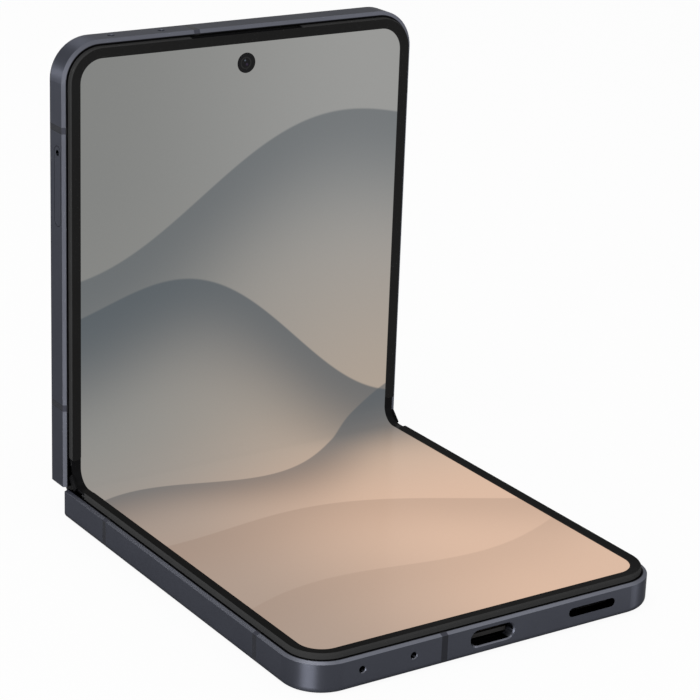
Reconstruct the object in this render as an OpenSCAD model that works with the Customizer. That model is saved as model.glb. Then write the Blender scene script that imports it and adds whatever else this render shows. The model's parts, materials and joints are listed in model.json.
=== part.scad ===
// Foldable phone, standing half open: two halves joined by a geared two-axis hinge.
// A half is drawn lying flat: x runs across the phone, y away from the fold line, and z up
// from the plane of the metal rim, so the display side is up and the back is down.

/* [Body] */
// Width of the phone across the hinge
phone_w = 71.9; // [69:0.1:76]
// Length of a half from the fold line to its far end
half_l = 81.5; // [80:0.1:88]
// Thickness of a half from its back to its metal rim
frame_t = 5.7; // [5.6:0.05:6.4]
// Corner radius of a half in plan
corner_r = 7.2; // [6.5:0.1:9]
// Thickness of the frame's side rails
rail_w = 1.9; // [1.7:0.05:2.1]
// Radius of the frame's rounded back edge
back_edge_r = 1.2; // [0.9:0.05:1.25]
// Width of the bevel round the rim
rim_bevel_w = 0.82; // [0.5:0.02:0.85]
// Depth of the bevel round the rim
rim_bevel_d = 0.38; // [0.2:0.02:0.6]
// Width of the flat land inside the bevel
rim_land = 0.1; // [0.08:0.01:0.2]
// Thickness of the frame's middle plate
plate_t = 0.88; // [0.8:0.02:1]
// Depth of the middle plate's top below the rim
bed_depth = 0.15; // [0.1:0.01:0.2]
// Thickness of the frame's skin over the spine
skin_t = 0.52; // [0.4:0.02:0.6]
// Width of a plastic antenna band
band_w = 1.2; // [0.8:0.1:1.6]
// Depth of an antenna band into the rail
band_depth = 1.3; // [1:0.1:1.5]
// Distance of the near side bands from the fold line
band_near = 15.4; // [12:0.1:18]
// Distance of the far side bands from the far end
band_far = 15.3; // [14:0.1:16]
// Place of the antenna band across the far end
band_x = -9.6; // [-10:0.1:-8]

/* [Back covers] */
// Thickness of a back cover
cover_t = 0.65; // [0.5:0.05:0.7]
// Height by which a cover stands proud of the frame's back edge
cover_proud = 0.08; // [0.05:0.01:0.12]
// Width of the seam round a cover
cover_seam = 0.05; // [0.03:0.01:0.08]
// Bevel on the edge of a cover
cover_bevel = 0.2; // [0.1:0.05:0.3]
// Thickness of the cover display under the upper cover
cover_display_t = 0.5; // [0.4:0.05:0.6]

/* [Display and bezel] */
// Thickness of the metal sheet behind the display
backing_t = 0.5; // [0.4:0.05:0.6]
// Thickness of the folding display
display_t = 0.45; // [0.35:0.05:0.6]
// Width of the seam between rim and bezel
bezel_seam = 0.1; // [0.06:0.01:0.14]
// Thickness of the bezel's foot
bezel_foot_t = 0.28; // [0.22:0.02:0.32]
// Clearance round the display and inside the bezel's foot
foot_clear = 0.05; // [0.03:0.01:0.08]
// Distance from the side of the phone to the visible display
bezel_w = 3; // [2.6:0.1:3.4]
// Slope of the bezel's outer face
ridge_slope = 0.18; // [0.1:0.02:0.3]
// Height of the bezel's ridge over the display
ridge_h = 0.3; // [0.2:0.05:0.4]
// Thickness of the bezel's inner lip
lip_t = 0.1; // [0.06:0.02:0.15]
// Depth of the bezel's foot below the rim
foot_depth = 0.35; // [0.25:0.05:0.45]
// Distance from the fold line to the ends of a bezel
bezel_start = 5.5; // [5:0.1:7]
// Radius of the rounded ends of a bezel
bezel_end_r = 0.6; // [0.3:0.1:0.9]

/* [Hinge] */
// Distance of each hinge axis from the fold line when open flat
axis_offset = 2; // [1.9:0.02:2.1]
// Gap between the bezels when closed
closed_gap = 0.1; // [0.08:0.02:0.2]
// Clearance between the rims as they pass the fold line
rim_clear = 0.06; // [0.04:0.01:0.1]
// Wall thickness of the spine cover
spine_wall = 0.35; // [0.3:0.01:0.38]
// Clearance between the spine and the cavities of the halves
spine_clear = 0.15; // [0.12:0.01:0.2]
// Clearance at each end of the spine
spine_end_clear = 0.2; // [0.15:0.05:0.4]
// Length of the spine's end caps
end_cap_l = 2; // [1.5:0.1:3]
// Radius of a hinge pin
pin_r = 0.5; // [0.45:0.01:0.52]
// Radial running clearance of the hinge pins and idler shafts
run_fit = 0.03; // [0.02:0.005:0.05]
// Distance of the hinge modules' middles from the sides of the phone
hinge_side = 14; // [13:0.5:17]
// Length of a hinge module along its pins
module_l = 12; // [11:0.5:13]
// Thickness of a module's cheeks
cheek_t = 1; // [0.8:0.1:1.2]
// Clearance beside barrels and gears
side_clear = 0.1; // [0.06:0.02:0.2]
// Pitch radius of the sync gears
gear_r = 1.15; // [1.12:0.01:1.18]
// Face width of the sync gears
gear_w = 2.8; // [2:0.1:4]
// Radius of an idler's shaft
shaft_r = 0.4; // [0.35:0.01:0.45]
// Length of a bracket from its hinge axis
bracket_l = 9; // [8.5:0.1:10]
// Radius of the screws' threads
screw_r = 0.45; // [0.4:0.01:0.5]
// Radius of the screws' heads
screw_head_r = 0.85; // [0.75:0.05:0.95]
// Thickness of the screws' heads
screw_head_t = 0.3; // [0.2:0.05:0.35]
// Number of disc springs in a friction stack
washers = 8; // [6:1:8]
// Thickness of a disc spring
washer_t = 0.22; // [0.18:0.01:0.24]
// Thickness of the hinge pins' heads
pin_head_t = 0.4; // [0.3:0.05:0.5]
// Width of the hinge flex cable
flex_w = 9; // [6:0.5:11]
// Thickness of the hinge flex cable
flex_t = 0.2; // [0.15:0.01:0.25]

/* [Ports and openings] */
// Width of the charging port's opening
port_w = 8.34; // [8.3:0.02:8.5]
// Height of the charging port's opening
port_h = 2.56; // [2.5:0.02:2.6]
// Wall thickness of the port's metal shell
port_wall = 0.2; // [0.16:0.02:0.24]
// Bevel round the mouth of the port
port_bevel = 0.22; // [0.1:0.02:0.3]
// Depth of the port from the end of the phone
port_l = 6.6; // [6:0.1:7.5]
// Width of the port's tongue
tongue_w = 6.69; // [6.6:0.01:6.8]
// Thickness of the port's tongue
tongue_t = 0.7; // [0.64:0.01:0.74]
// Distance from the end of the phone to the tip of the tongue
tongue_in = 1.2; // [1:0.1:1.5]
// Spacing of the contacts on the tongue
contact_pitch = 0.5; // [0.46:0.01:0.54]
// Radius of the microphone holes
mic_r = 0.55; // [0.4:0.05:0.6]
// Bevel round the mouths of the microphone holes
mic_bevel = 0.12; // [0.06:0.02:0.2]
// Distance of the outer microphone from the side of the phone
mic_side = 10.6; // [10:0.1:12]
// Spacing of the two microphones
mic_pitch = 9.8; // [9:0.1:10]
// Depth of the microphones and the speaker slot below the rim
sound_depth = 2.4; // [2.3:0.05:2.6]
// Distance of the speaker slot's middle from the side of the phone
speaker_side = 15.5; // [14.5:0.1:16]
// Length of the speaker slot
speaker_l = 9.7; // [8:0.1:11]
// Height of the speaker slot
speaker_h = 1.6; // [1.2:0.1:1.8]
// Thickness of the mesh behind the speaker slot
mesh_t = 0.3; // [0.2:0.05:0.4]
// Length of the earpiece slit in the upper bezel
earpiece_l = 23; // [18:0.5:26]
// Height of the earpiece slit
earpiece_h = 0.62; // [0.4:0.02:0.7]
// Depth of the earpiece slit
earpiece_d = 0.2; // [0.12:0.02:0.22]
// Height of the slit's lower edge above the rim
earpiece_z = 0.12; // [0.08:0.02:0.16]

/* [Cameras] */
// Radius of the selfie camera's hole in the display
selfie_r = 1.85; // [1.6:0.05:2]
// Distance of the selfie camera from the far end
selfie_inset = 6.6; // [6.4:0.1:7.2]
// Outer radius of the rear lens rings
ring_r = 5.9; // [5.6:0.1:6.2]
// Width of the rear lens rings
ring_w = 0.9; // [0.7:0.1:1.1]
// Height by which the lens rings stand out of the back
ring_proud = 1.1; // [0.8:0.1:1.4]
// Width and length of the selfie camera's housing
selfie_box = 5; // [4.6:0.1:5.4]
// Distance of the outer rear lens from the side of the phone
lens_side = 11; // [10.5:0.1:11.5]
// Spacing of the two rear lenses
lens_pitch = 14; // [13.5:0.1:15]
// Distance of the rear lenses from the far end
lens_inset = 11; // [10.5:0.1:11.5]
// Radius of the flash lens
flash_r = 1.9; // [1.5:0.1:2.1]
// Thickness of the lens windows
window_t = 0.5; // [0.4:0.05:0.6]

/* [Keys and tray] */
// Length of the volume key
volume_l = 16.6; // [14:0.1:18]
// Distance of the volume key's middle from the far end
volume_end = 26.2; // [26:0.1:27]
// Length of the side key
side_key_l = 11.4; // [10:0.1:12]
// Distance of the side key's middle from the far end
side_key_end = 45; // [43.5:0.1:47]
// Height of the keys
key_h = 2.1; // [1.8:0.1:2.4]
// Height by which the keys stand out of the rail
key_proud = 0.32; // [0.2:0.02:0.5]
// Clearance round the keys and the tray's face
slot_clear = 0.1; // [0.06:0.02:0.14]
// Gap between a key's flange and the rail
flange_gap = 0.25; // [0.22:0.01:0.3]
// Thickness of a key's flange
flange_t = 0.4; // [0.3:0.05:0.5]
// Travel between a key and its switches
press_gap = 0.3; // [0.24:0.02:0.4]
// Thickness of the dome switches
switch_t = 0.5; // [0.4:0.05:0.6]
// Thickness of the strip behind the switches
strip_t = 0.35; // [0.3:0.05:0.45]
// Depth of the keys' middle below the rim
key_depth = 2.6; // [2.5:0.05:2.7]
// Length of the card tray's face along the rail
tray_face_l = 14.3; // [14.2:0.1:15]
// Height of the card tray's face
tray_face_h = 2.3; // [2.1:0.1:2.4]
// Distance of the tray's middle from the far end
tray_end = 25.5; // [25:0.1:26]
// Depth of the tray's middle below the rim
tray_depth = 1.95; // [1.9:0.02:2]
// Length of the tray inside the rail
tray_l = 17; // [15:0.5:18]
// Thickness of the tray's plate
tray_t = 0.7; // [0.6:0.05:0.8]
// Length of the card that the tray carries
card_l = 12.3; // [12.3:0.05:12.5]
// Width of the card that the tray carries
card_w = 8.8; // [8.8:0.05:9]
// Wall thickness of the card reader
reader_wall = 0.25; // [0.2:0.05:0.3]
// Radius of the tray's eject hole
eject_r = 0.55; // [0.4:0.05:0.6]

/* [Inside] */
// Gap left between inner parts and the rails
inner_gap = 0.3; // [0.2:0.05:0.5]
// Thickness of the batteries
battery_t = 3.1; // [2.8:0.05:3.2]
// Thickness of the circuit boards
board_t = 0.7; // [0.6:0.05:0.8]
// Length of the lower circuit board from the far rail
lower_board_l = 18; // [17:0.5:19]
// Length of the main circuit board from the far rail
main_board_l = 36; // [34:0.5:36.5]
// Width of the loudspeaker box
speaker_box_w = 19; // [16:0.5:20]
// Length of the loudspeaker box
speaker_box_l = 14; // [12:0.5:16]
// Width of the vibration motor
haptic_w = 7; // [6:0.5:8]
// Length of the vibration motor
haptic_l = 22; // [18:0.5:24]
// Outer radius of the charging coil
coil_r = 19; // [17:0.5:21]
// Inner radius of the charging coil
coil_hole_r = 9; // [8:0.5:10]
// Turns of the charging coil
coil_turns = 9; // [6:1:12]
// Thickness of the charging coil
coil_t = 0.3; // [0.2:0.02:0.32]
// Radius of the bosses that carry the boards
boss_r = 1.5; // [1.3:0.1:1.7]
// Height of the shield cans
can_h = 1; // [0.8:0.1:1.2]
// Width of the earpiece
earpiece_w = 15; // [12:0.5:16]
// Height of the microphone capsules and the earpiece
capsule_h = 2.2; // [2:0.1:2.4]

/* [Hidden] */
$fn = 48;
eps = 0.01;

frame_colour = "#44464f";
edge_colour = "#3b3d45";
black = "#17181a";
glass_colour = "#0c0d0f";
steel = "#9da0a6";
gold = "#b8975a";
board_colour = "#1f4733";

// Heights of the layers of a half
bed_z = -bed_depth;
plate_z = bed_z - plate_t;
backing_z = bed_z + backing_t;
display_z = backing_z + display_t;
ridge_z = display_z + ridge_h;
frame_back_z = -frame_t + cover_proud;
cover_in_z = -frame_t + cover_t;

// Wall between the spine's hollow and the pocket, and the part of it that the cover laps
wall = 1.55;
cover_lap = 0.6;
// Overlap of fused solids, the play of a seated piece and of a screw in its hole
lap = 0.25;
seat_fit = 0.02;
screw_clear = 0.05;

// Insets from the outline of a half
rim_in = rim_bevel_w + rim_land;
bezel_in = rim_in + bezel_seam;
display_in = bezel_in + bezel_foot_t + foot_clear;
plate_in = display_in + foot_clear;
cover_in = back_edge_r + 0.05 + cover_seam;
rail_x = phone_w/2 - rail_w;
rail_end = half_l - rail_w;

// Hinge geometry, open flat: axes at y = -axis_offset and axis_offset, at z = -axis_depth
fold = 45;
axis_depth = axis_offset - ridge_z - closed_gap/2;
end_gap = axis_offset - sqrt(axis_offset^2 - axis_depth^2) + rim_clear;
cavity_r = -frame_back_z - skin_t - axis_depth;
spine_r = cavity_r - spine_clear;
base_r = spine_r - spine_wall - seat_fit;
spine_top = -axis_depth - 0.1;
ledge_z = -axis_depth + 0.1;
bracket_z = ledge_z - 0.05;
bend_start = 2*axis_offset;
ledge_s = bend_start + 0.2;
pocket_s = axis_offset + cavity_r + wall;
cover_s = pocket_s - cover_lap;
spine_l = 2*(rail_x - spine_end_clear);
fold_y = (half_l + end_gap)/2;
bend_r = (1 + sqrt(2))*axis_offset - axis_depth - display_z;

// Sync gears: sectors on the brackets, and two idlers below them in the spine
gear_teeth = 12;
pitch = 360/gear_teeth;
gear_module = 2*gear_r/gear_teeth;
root_r = gear_r - 1.15*gear_module;
tip_r = gear_r + 0.9*gear_module;
chain = acos((axis_offset - gear_r)/(2*gear_r));
idler_z = -axis_depth - 2*gear_r*sin(chain);
hinge_x = phone_w/2 - hinge_side;
barrel_l = module_l - 2*cheek_t - 2*side_clear;
stack_l = washers*washer_t + side_clear;
phase_a = -chain;
phase_1 = mesh_phase(phase_a, -chain);
phase_2 = mesh_phase(phase_1, 0);
phase_b = mesh_phase(phase_2, chain);

// Heights in the pockets
board_z = cover_in_z + 0.1 + board_t;
main_board_z = -tray_depth - tray_t/2 - slot_clear - reader_wall;
port_z = plate_z - port_h/2 - port_wall;

// Lengthwise places, from the fold line
battery_s = pocket_s + inner_gap;
lower_board_s = rail_end - lower_board_l;
main_board_s = rail_end - main_board_l;
port_back = 0.5;
port_s = half_l - port_l - port_back;
mesh_s = rail_end - 1;
haptic_s = battery_s + 6;
selfie_s = half_l - selfie_inset;
lens_s = half_l - lens_inset;
flash_s = lens_s - 3;
volume_s = half_l - volume_end;
side_key_s = half_l - side_key_end;
tray_s = half_l - tray_end;

// Crosswise places
shell_w = port_w + 2*port_wall;
shell_h = port_h + 2*port_wall;
mic_x = [mic_side - phone_w/2, mic_side + mic_pitch - phone_w/2];
speaker_x = phone_w/2 - speaker_side;
speaker_box_x = speaker_x - speaker_box_w/2;
haptic_x = rail_x - inner_gap - haptic_w;
outer_lens_x = phone_w/2 - lens_side;
inner_lens_x = outer_lens_x - lens_pitch;
barrel_r = ring_r - ring_w;
flash_x = inner_lens_x - ring_r - flash_r - 0.8;
flange_x = rail_x - flange_gap;
key_back_x = flange_x - flange_t;
rib_r = 0.3;
switch_x = key_back_x - press_gap - switch_t;
strip_x = switch_x - strip_t;
tray_x = -rail_x + inner_gap;
tray_plate_w = tray_face_l - 1.4;
reader_side = 0.7;
reader_end = 0.6;
card_rim = 1.2;
notch_w = earpiece_w + 3;

// Screwed places of the boards, as [x, y]
lower_bosses = [
  [-rail_x + 2.5, rail_end - 4.5], [-rail_x + 2.5, rail_end - 14],
  [-shell_w/2 - 5, rail_end - 14], [speaker_box_x - 3.5, rail_end - 14]
];
main_bosses = [
  [-rail_x + 3.5, rail_end - 4], [-rail_x + 3.5, rail_end - 34],
  [inner_lens_x + 1, rail_end - 23], [strip_x - inner_gap - boss_r, rail_end - 33.5]
];
// Shield cans of the main board, as [left, right, distance from the far rail, length]
cans = [
  [-rail_x + 6, -rail_x + 18, 34.5, 16], [-rail_x + 19, inner_lens_x, 34.5, 12],
  [inner_lens_x + 2.5, inner_lens_x + 16.5, 34.5, 10], [-rail_x + 5, -rail_x + 21, 14.5, 10]
];

// Angle of a tooth on a gear that meshes with a gear of tooth angle phase, in direction towards it
function mesh_phase(phase, direction) = 2*direction + 180 - pitch/2 - phase;
function polar(r, a) = [r*cos(a), r*sin(a)];
function turned(p, a) = [p[0]*cos(a) - p[1]*sin(a), p[0]*sin(a) + p[1]*cos(a)];

// ---- Placing ----

// Everything open flat, fold line at y = 0, onto the table with the lower half centred
module table() translate([0, fold_y, frame_t]) children();
module turn_about(y, z, angle) translate([0, y, z]) rotate([angle, 0, 0]) translate([0, -y, -z]) children();
module on_lower() table() mirror([0, 1, 0]) children();
module on_spine() table() turn_about(-axis_offset, -axis_depth, fold) children();
module on_upper() on_spine() turn_about(axis_offset, -axis_depth, fold) children();
module both_sides() for (side = [0, 1]) mirror([side, 0, 0]) children();
module at_hinges() for (x = [-hinge_x, hinge_x]) translate([x, 0, 0]) children();

// Extrudes a (y, z) section along x, centred
module along_x(length) rotate([90, 0, 90]) translate([0, 0, -length/2]) linear_extrude(length) children();
// Extrudes an (x, z) section away from the fold, from s0 to s1
module along_y(s0, s1) translate([0, s1, 0]) rotate([90, 0, 0]) linear_extrude(s1 - s0) children();

// ---- Building blocks of a half ----

// Plan outline of a half, inset from its edge, from s0 to the far end
module plan(inset, s0) {
  r = corner_r - inset;
  w = phone_w - 2*inset;
  l = half_l - inset;
  translate([-w/2, s0]) square([w, l - r - s0]);
  translate([-w/2 + r, s0]) square([w - 2*r, l - s0]);
  for (side = [-1, 1]) translate([side*(w/2 - r), l - r]) circle(r);
}

module slab(inset, s0, z0, z1) translate([0, 0, z0]) linear_extrude(z1 - z0) plan(inset, s0);

// Sweeps a section of (inset, z) along both sides and round the far end of a half
module sweep(s0) {
  straight = phone_w - 2*corner_r;
  both_sides() {
    translate([-phone_w/2, 0, 0]) along_y(s0, half_l - corner_r) children();
    translate([-straight/2, half_l - corner_r, 0]) rotate([0, 0, 90]) rotate_extrude(angle = 90)
      translate([corner_r, 0]) mirror([1, 0]) children();
  }
  translate([0, half_l, 0]) mirror([0, 1, 0]) along_x(straight) children();
}

module rail_section() {
  polygon([
    [0, -rim_bevel_d], [rim_bevel_w, 0], [rim_in, 0], [rim_in, -foot_depth], [rail_w, -foot_depth],
    [rail_w, cover_in_z], [cover_in - cover_seam, cover_in_z], [cover_in - cover_seam, frame_back_z],
    [back_edge_r, frame_back_z], [back_edge_r, frame_back_z + back_edge_r], [0, frame_back_z + back_edge_r]
  ]);
  intersection() {
    translate([back_edge_r, frame_back_z + back_edge_r]) circle(back_edge_r);
    translate([0, frame_back_z]) square(back_edge_r);
  }
}

// Places of the antenna bands: two on each side and one across the far end
module band_slots() {
  for (s = [band_near, half_l - band_far])
    both_sides() translate([-phone_w/2, 0, 0]) along_y(s - band_w/2, s + band_w/2) children();
  translate([band_x, half_l, 0]) mirror([0, 1, 0]) along_x(band_w) children();
}

module band_section() intersection() {
  rail_section();
  translate([0, -frame_t]) square([band_depth, frame_t]);
}

// Section of the hollow that the spine turns in, as (s, z), measured from the fold line
module cavity_section() {
  intersection() {
    translate([axis_offset, -axis_depth]) circle(cavity_r);
    translate([-1, -frame_t]) square([axis_offset + cavity_r + 2, frame_t + ledge_z]);
  }
  translate([-1, -axis_depth - cavity_r]) square([axis_offset + 1, frame_t]);
  translate([-1, ledge_z]) square([ledge_s + 1, frame_t]);
}

// Recess in the ledge for one hinge bracket, and its screw holes
module bracket_recess() {
  translate([-barrel_l/2 - side_clear, 0, bracket_z])
    cube([barrel_l + 2*side_clear, axis_offset + bracket_l + side_clear, frame_t]);
  bracket_screws(screw_r + eps, 0);
}

module bracket_screws(r, head) {
  screw_l = 1.8;
  for (x = [-1, 1]) translate([x*barrel_l*0.32, pocket_s - wall*0.55, 0]) {
    translate([0, 0, ledge_z - screw_l]) cylinder(r = r, h = screw_l - ledge_z + bed_z - screw_head_t);
    if (head > 0) translate([0, 0, bed_z - screw_head_t]) cylinder(r = head, h = screw_head_t);
  }
}

module half_frame() {
  difference() {
    union() {
      sweep(end_gap) rail_section();
      slab(plate_in, pocket_s - cover_lap, plate_z, bed_z);
      along_x(2*(rail_x + lap)) difference() {
        translate([end_gap, frame_back_z]) square([pocket_s - end_gap, bed_z - frame_back_z]);
        cavity_section();
        translate([cover_s - cover_seam, frame_back_z - 1]) square([frame_t, cover_in_z - frame_back_z + 1]);
      }
    }
    band_slots() band_section();
    at_hinges() bracket_recess();
    translate([-flex_w/2 - side_clear, 0, bracket_z]) cube([flex_w + 2*side_clear, pocket_s + 3, frame_t]);
  }
}

module back_cover() {
  r = corner_r - 0.4;
  sweep(cover_s) polygon([
    [cover_in, cover_in_z], [cover_in, -frame_t + cover_bevel], [cover_in + cover_bevel, -frame_t],
    [r, -frame_t], [r, cover_in_z]
  ]);
  translate([-phone_w/2 + corner_r - 0.5, cover_s, -frame_t])
    cube([phone_w - 2*corner_r + 1, half_l - corner_r + 0.5 - cover_s, cover_t]);
}

module bezel_section() polygon([
  [bezel_in, -foot_depth], [bezel_in, display_z], [bezel_in + ridge_slope, ridge_z],
  [bezel_w, display_z + lip_t], [bezel_w, display_z], [bezel_in + bezel_foot_t, display_z],
  [bezel_in + bezel_foot_t, -foot_depth]
]);

// Bezel of a half, with rounded ends beside the fold
module bezel() intersection() {
  sweep(bezel_start) bezel_section();
  translate([0, 0, -frame_t]) linear_extrude(2*frame_t) {
    plan(0, bezel_start + bezel_end_r);
    both_sides() translate([-phone_w/2 + bezel_in + bezel_end_r, bezel_start + bezel_end_r]) {
      circle(bezel_end_r);
      translate([0, -bezel_end_r]) square([bezel_w - bezel_in - 2*bezel_end_r, 2*bezel_end_r]);
      translate([bezel_w - bezel_in - 2*bezel_end_r, 0]) circle(bezel_end_r);
    }
  }
}

module stadium(w, h) {
  square([w - h, h], center = true);
  for (side = [-1, 1]) translate([side*(w - h)/2, 0]) circle(h/2);
}

// Cuts an (x, z) section through the far rail
module far_hole(x, z) translate([x, 0, z]) along_y(rail_end - 0.2, half_l + 1) children();

// Bevels the mouth of a stadium-shaped hole in the far end
module mouth(x, z, w, h, bevel) translate([x, half_l - bevel, z]) {
  deep = bevel + lap;
  for (side = [-1, 1]) translate([side*(w - h)/2, 0, 0])
    rotate([-90, 0, 0]) cylinder(r1 = h/2, r2 = h/2 + deep, h = deep);
  if (w > h) along_x(w - h) polygon([[0, -h/2], [deep, -h/2 - deep], [deep, h/2 + deep], [0, h/2]]);
}

module microphone_hole(x) {
  far_hole(x, -sound_depth) circle(mic_r);
  mouth(x, -sound_depth, 2*mic_r, 2*mic_r, mic_bevel);
}

module rounded_box(size, r) {
  linear_extrude(size[2]) {
    translate([r, 0]) square([size[0] - 2*r, size[1]]);
    translate([0, r]) square([size[0], size[1] - 2*r]);
    for (x = [r, size[0] - r], y = [r, size[1] - r]) translate([x, y]) circle(r, $fn = 24);
  }
}

// ---- Hinge ----

// Gear teeth at the given angles on a round hub
module gear_profile(angles) {
  circle(root_r);
  for (a = angles) rotate(a) polygon([
    polar(root_r - 0.05, -10), polar(gear_r, -5.4), polar(tip_r, -2.6),
    polar(tip_r, 2.6), polar(gear_r, 5.4), polar(root_r - 0.05, 10)
  ]);
}

// Bracket in (y, z) of the open flat phone, on the axis at y = side*axis_offset
module hinge_bracket(side, teeth) {
  difference() {
    union() {
      translate([0, side*axis_offset, -axis_depth]) {
        along_x(barrel_l) circle(root_r);
        along_x(gear_w) gear_profile(teeth);
      }
      along_x(barrel_l) polygon([
        [side*axis_offset, bracket_z], [side*axis_offset, bed_z],
        [side*(axis_offset + bracket_l), bed_z], [side*(axis_offset + bracket_l), bracket_z]
      ]);
    }
    translate([0, side*axis_offset, -axis_depth]) along_x(barrel_l + 1) circle(pin_r + run_fit);
    if (side > 0) bracket_screws(screw_r + screw_clear, screw_head_r + eps);
    else mirror([0, 1, 0]) bracket_screws(screw_r + screw_clear, screw_head_r + eps);
  }
}

// Lower part of the spine's outline, a flat belly between two arcs about the axes
module spine_section(r) intersection() {
  union() {
    for (side = [-1, 1]) translate([side*axis_offset, -axis_depth]) circle(r);
    translate([-axis_offset, -axis_depth - r]) square([2*axis_offset, r]);
  }
  translate([-axis_offset - r, -axis_depth - r]) square([2*(axis_offset + r), spine_top + axis_depth + r]);
}

module at_axes() for (side = [-1, 1]) translate([side*axis_offset, -axis_depth]) children();
module at_idlers() for (side = [-1, 1]) translate([side*gear_r, idler_z]) children();

module cheek_section() difference() {
  union() {
    spine_section(base_r);
    at_axes() circle(root_r);
  }
  at_axes() circle(pin_r);
  at_idlers() circle(shaft_r + run_fit);
}

module idler(side, phase) rotate([side*fold, 0, 0]) {
  along_x(gear_w) gear_profile([for (k = [0:gear_teeth - 1]) phase + k*pitch]);
  along_x(module_l) circle(shaft_r);
}

module disc_spring() rotate([0, 90, 0]) rotate_extrude() polygon([
  [pin_r + eps, 0], [root_r - 0.05, washer_t/2], [root_r - 0.05, washer_t], [pin_r + eps, washer_t/2]
]);

// Middle line of the flex cable in the spine, from the lower half to the middle, open flat
flex_end = [-pocket_s - 2.2, bracket_z + flex_t/2];
flex_bend = [-bend_start - 0.4, bracket_z + flex_t/2];
flex_dip = -axis_depth - 0.9;
function in_spine(p) = turned(p - [-axis_offset, -axis_depth], -fold) + [-axis_offset, -axis_depth];
function bezier(a, b, c, t) = (1 - t)^2*a + 2*t*(1 - t)*b + t^2*c;
function flex_line() = let(
  start = in_spine(flex_bend), corner = [start[0] + start[1] - flex_dip, flex_dip]
) concat([in_spine(flex_end)], [for (t = [0:0.125:1]) bezier(start, corner, [0, flex_dip], t)]);
function offset_line(line, d) = [for (i = [0:len(line) - 1])
  let(a = line[max(i - 1, 0)], b = line[min(i + 1, len(line) - 1)], n = turned((b - a)/norm(b - a), 90))
  line[i] + d*n];
function reversed(line) = [for (i = [len(line) - 1:-1:0]) line[i]];
// A line that ends in the middle, carried on to its mirror image
function doubled(line) = concat(line, [for (i = [len(line) - 2:-1:0]) [-line[i][0], line[i][1]]]);

// ---- What both halves hold ----

// What lies in the pocket of a half, clear of the rails
module in_pocket() intersection() {
  children();
  slab(rail_w + inner_gap, pocket_s, -frame_t, 0);
}

// Bosses under the middle plate that carry a board, bored for its screws
module board_bosses(places, top_z) for (p = places) translate([p[0], p[1], top_z]) difference() {
  cylinder(r = boss_r, h = plate_z - top_z + eps);
  translate([0, 0, -eps]) cylinder(r = screw_r + eps, h = 1.2, $fn = 24);
}

module board_screws(places, top_z) for (p = places) translate([p[0], p[1], top_z - board_t]) {
  low_head = 0.08;
  cylinder(r = screw_r, h = board_t + 1, $fn = 24);
  translate([0, 0, -low_head]) cylinder(r = screw_head_r, h = low_head, $fn = 24);
}

module screw_holes(places) for (p = places)
  translate([p[0], p[1], -frame_t]) cylinder(r = screw_r + screw_clear, h = frame_t, $fn = 24);

module display_backing() slab(display_in + 2*foot_clear, ledge_s, bed_z, backing_z);

// Battery between two crosswise places, from the hinge to the board that starts at end_s
module battery(x0, x1, end_s) translate([x0, battery_s, plate_z - battery_t])
  rounded_box([x1 - x0, end_s - inner_gap - battery_s, battery_t], 1.5);

// Microphone capsules behind their holes
module capsules() for (x = mic_x) translate([x, 0, -sound_depth]) difference() {
  translate([-1.75, rail_end - 1.3, -capsule_h/2]) cube([3.5, 1.3, capsule_h]);
  along_y(rail_end - 0.6, rail_end + 1) circle(mic_r*0.6, $fn = 24);
}

// ---- Lower half ----

module lower_frame() color(frame_colour) on_lower() difference() {
  step = 0.08;
  union() {
    half_frame();
    board_bosses(lower_bosses, board_z);
  }
  far_hole(0, port_z) stadium(port_w + 2*step, port_h + 2*step);
  mouth(0, port_z, port_w + 2*step, port_h + 2*step, port_bevel);
  far_hole(speaker_x, -sound_depth) stadium(speaker_l, speaker_h);
  for (x = mic_x) microphone_hole(x);
}

module lower_antenna_bands() color(edge_colour) on_lower() band_slots() band_section();
module lower_cover() color(frame_colour) on_lower() back_cover();
module lower_bezel() color(black) on_lower() bezel();
module lower_display() color(glass_colour) on_lower() slab(display_in, bend_start, backing_z, display_z);
module lower_display_backing() color(steel) on_lower() display_backing();

module lower_hinge_brackets() color(steel) table() at_hinges()
  hinge_bracket(-1, [for (k = [-1:4]) phase_a + k*pitch]);
module lower_hinge_screws() color(steel) on_lower() at_hinges() bracket_screws(screw_r, screw_head_r);

module lower_battery() color(black) on_lower()
  battery(-rail_x + inner_gap, haptic_x - inner_gap, lower_board_s);

module lower_board() color(board_colour) on_lower() in_pocket() difference() {
  translate([-rail_x, lower_board_s, board_z - board_t])
    cube([rail_x + speaker_box_x - inner_gap, lower_board_l, board_t]);
  translate([-shell_w/2 - slot_clear, port_s - slot_clear, -frame_t])
    cube([shell_w + 2*slot_clear, half_l, frame_t]);
  screw_holes(lower_bosses);
}
module lower_board_screws() color(steel) on_lower() board_screws(lower_bosses, board_z);

module usb_receptacle() color(steel) on_lower() translate([0, 0, port_z]) difference() {
  along_y(port_s, rail_end) stadium(shell_w, shell_h);
  along_y(port_s + port_back, half_l) stadium(port_w, port_h);
}

// Tongue of the port with a row of contacts above and below
module usb_tongue() color(black) on_lower() translate([0, port_s + port_back, port_z]) {
  tongue_l = port_l - tongue_in;
  contact = [contact_pitch/2, tongue_l - 1, 0.04];
  translate([-tongue_w/2, 0, -tongue_t/2]) cube([tongue_w, tongue_l, tongue_t]);
  for (level = [0, 1], i = [-5.5:5.5]) mirror([0, 0, level])
    translate([i*contact_pitch - contact[0]/2, 0.5, tongue_t/2]) cube(contact);
}

module loudspeaker() color(black) on_lower() difference() {
  in_pocket() translate([speaker_box_x, rail_end - speaker_box_l, plate_z - battery_t])
    cube([speaker_box_w, speaker_box_l, battery_t]);
  translate([speaker_x, 0, -sound_depth]) along_y(rail_end - 5, half_l) stadium(speaker_l, speaker_h);
}

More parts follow.
